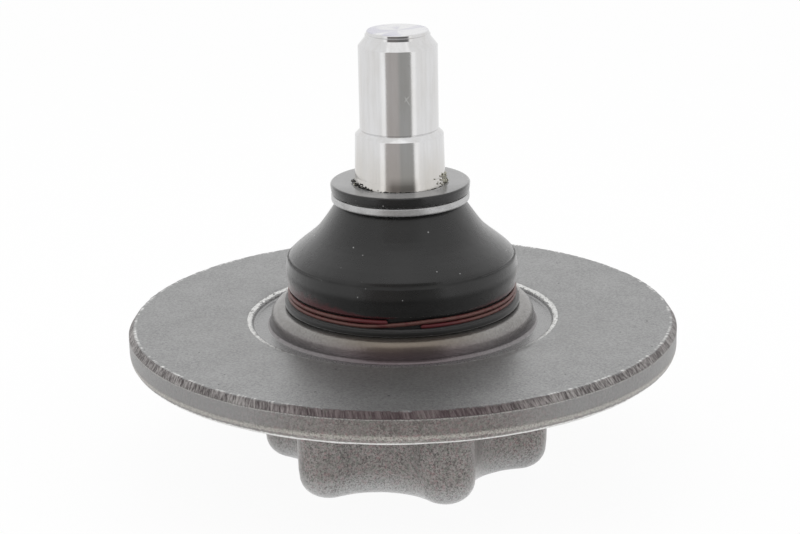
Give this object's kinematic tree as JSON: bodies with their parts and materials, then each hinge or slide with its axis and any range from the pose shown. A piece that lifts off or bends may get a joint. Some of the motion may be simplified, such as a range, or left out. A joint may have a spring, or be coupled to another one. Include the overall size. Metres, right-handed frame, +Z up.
{
  "type": "suspension ball joint",
  "caption": "Ball joint with a plain clamp-type stud, a rubber dust boot held by a wound wire clamp, and a forged housing with a disc flange and a lobed hub.",
  "frame": {"origin": "centre of the hub's flat bottom face", "axes": "+Z up the stud when it stands straight, -Y towards the side that the picture shows"},
  "size_m": [0.122, 0.122, 0.0993],
  "materials": {
    "forged_steel": "shot-blasted forging skin, speckled grey",
    "bearing_plastic": "natural acetal",
    "turned_steel": "turned, oiled",
    "stud_steel": "fine turned and polished",
    "boot_rubber": "moulded, satin",
    "red_wire": "red lacquered spring wire",
    "ring_plastic": "light grey moulded"
  },
  "bodies": {
    "housing": {"housing": "forged_steel", "lower_bearing_shell": "bearing_plastic", "upper_bearing_ring": "bearing_plastic", "closing_ring": "turned_steel", "boot_clamp_wire": "red_wire"},
    "boot": {"dust_boot": "boot_rubber"},
    "boot_neck": {"upper_boot_ring": "ring_plastic"},
    "stud": {"ball_stud": "stud_steel"}
  },
  "joints": [
    {"name": "tilt_direction", "type": "hinge", "parent": "housing", "child": "boot", "pos_m": [0, 0, 0.0266], "axis": [0, 0, 1], "continuous": true},
    {"name": "stud_tilt", "type": "hinge", "parent": "boot", "child": "boot_neck", "pos_m": [0, 0, 0.0266], "axis": [1, 0, 0], "range_deg": [-22, 22], "deforming": ["dust_boot"]},
    {"name": "stud_spin", "type": "hinge", "parent": "boot_neck", "child": "stud", "pos_m": [0, 0, 0.0266], "axis": [0, 0, 1], "continuous": true}
  ]
}
